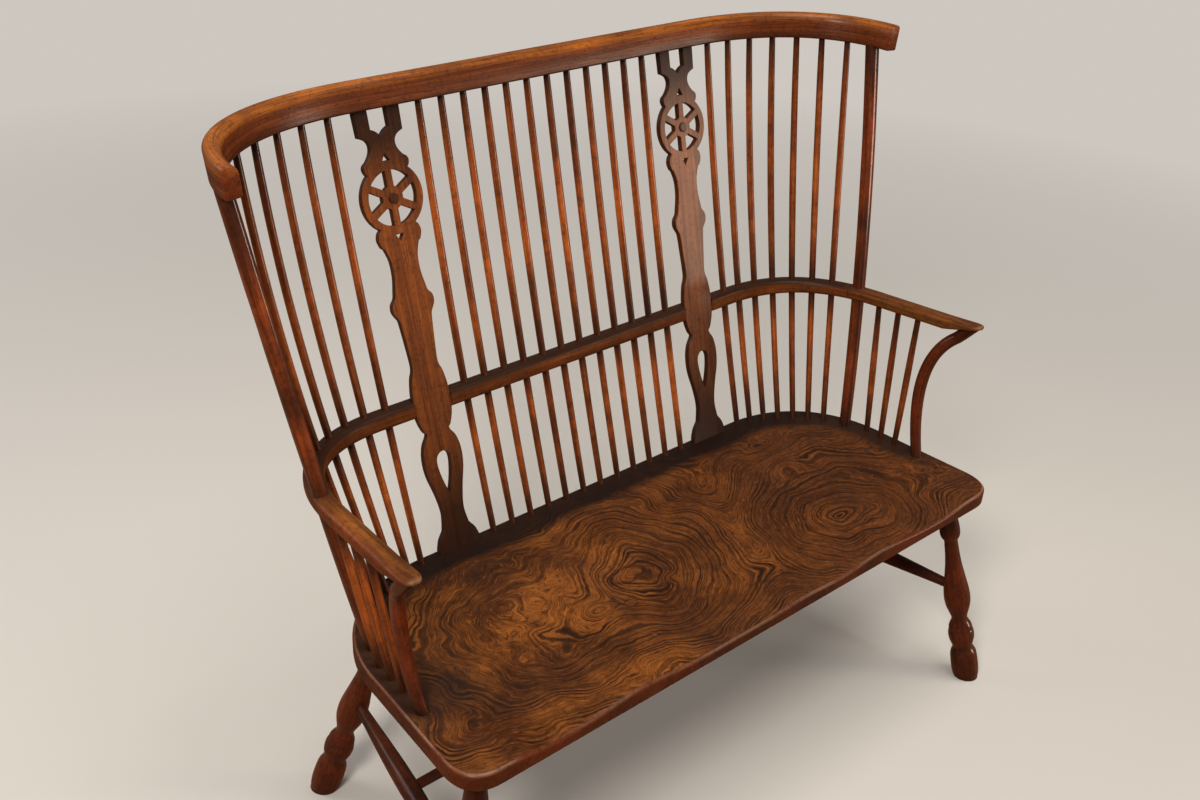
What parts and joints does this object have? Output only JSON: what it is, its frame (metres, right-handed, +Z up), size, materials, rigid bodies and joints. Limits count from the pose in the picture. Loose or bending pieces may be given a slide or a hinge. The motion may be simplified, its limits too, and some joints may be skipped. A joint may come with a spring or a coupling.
{
  "type": "deacons bench",
  "caption": "Wooden stick-back settee: a shaped plank seat on splayed turned legs joined by stretchers, with a bent arm bow, wheel-pierced splats and a bent crest rail.",
  "frame": {"origin": "centre of the bounding box in plan, on the floor", "axes": "+X along the seat, -Y to the front, +Z up"},
  "size_m": [1.303, 0.6862, 1.1606],
  "materials": {
    "seat_wood": "waxed burr elm, worn pale at the front corners and near black at the back",
    "bent_wood": "polished red-brown wood",
    "turned_wood": "polished dark red-brown wood"
  },
  "bodies": {
    "root": {"seat": "seat_wood", "arm_bow": "bent_wood", "crest_rail": "bent_wood", "spindle_middle_1": "turned_wood", "spindle_middle_2": "turned_wood", "spindle_middle_3": "turned_wood", "spindle_middle_4": "turned_wood", "spindle_middle_5": "turned_wood", "spindle_middle_6": "turned_wood", "spindle_middle_7": "turned_wood", "spindle_middle_8": "turned_wood", "spindle_middle_9": "turned_wood", "spindle_middle_10": "turned_wood", "spindle_middle_11": "turned_wood", "spindle_middle_12": "turned_wood", "spindle_left_1": "turned_wood", "spindle_left_2": "turned_wood", "spindle_left_3": "turned_wood", "spindle_left_4": "turned_wood", "spindle_left_5": "turned_wood", "spindle_left_6": "turned_wood", "spindle_left_7": "turned_wood", "back_post_left": "turned_wood", "spindle_right_1": "turned_wood", "spindle_right_2": "turned_wood", "spindle_right_3": "turned_wood", "spindle_right_4": "turned_wood", "spindle_right_5": "turned_wood", "spindle_right_6": "turned_wood", "spindle_right_7": "turned_wood", "back_post_right": "turned_wood", "arm_spindle_left_1": "turned_wood", "arm_spindle_left_2": "turned_wood", "arm_spindle_left_3": "turned_wood", "arm_spindle_right_1": "turned_wood", "arm_spindle_right_2": "turned_wood", "arm_spindle_right_3": "turned_wood", "splat_left": "bent_wood", "arm_crook_left": "turned_wood", "side_stretcher_left": "turned_wood", "leg_front_left": "turned_wood", "leg_back_left": "turned_wood", "splat_right": "bent_wood", "arm_crook_right": "turned_wood", "side_stretcher_right": "turned_wood", "leg_front_right": "turned_wood", "leg_back_right": "turned_wood", "cross_stretcher": "turned_wood"}
  },
  "joints": []
}
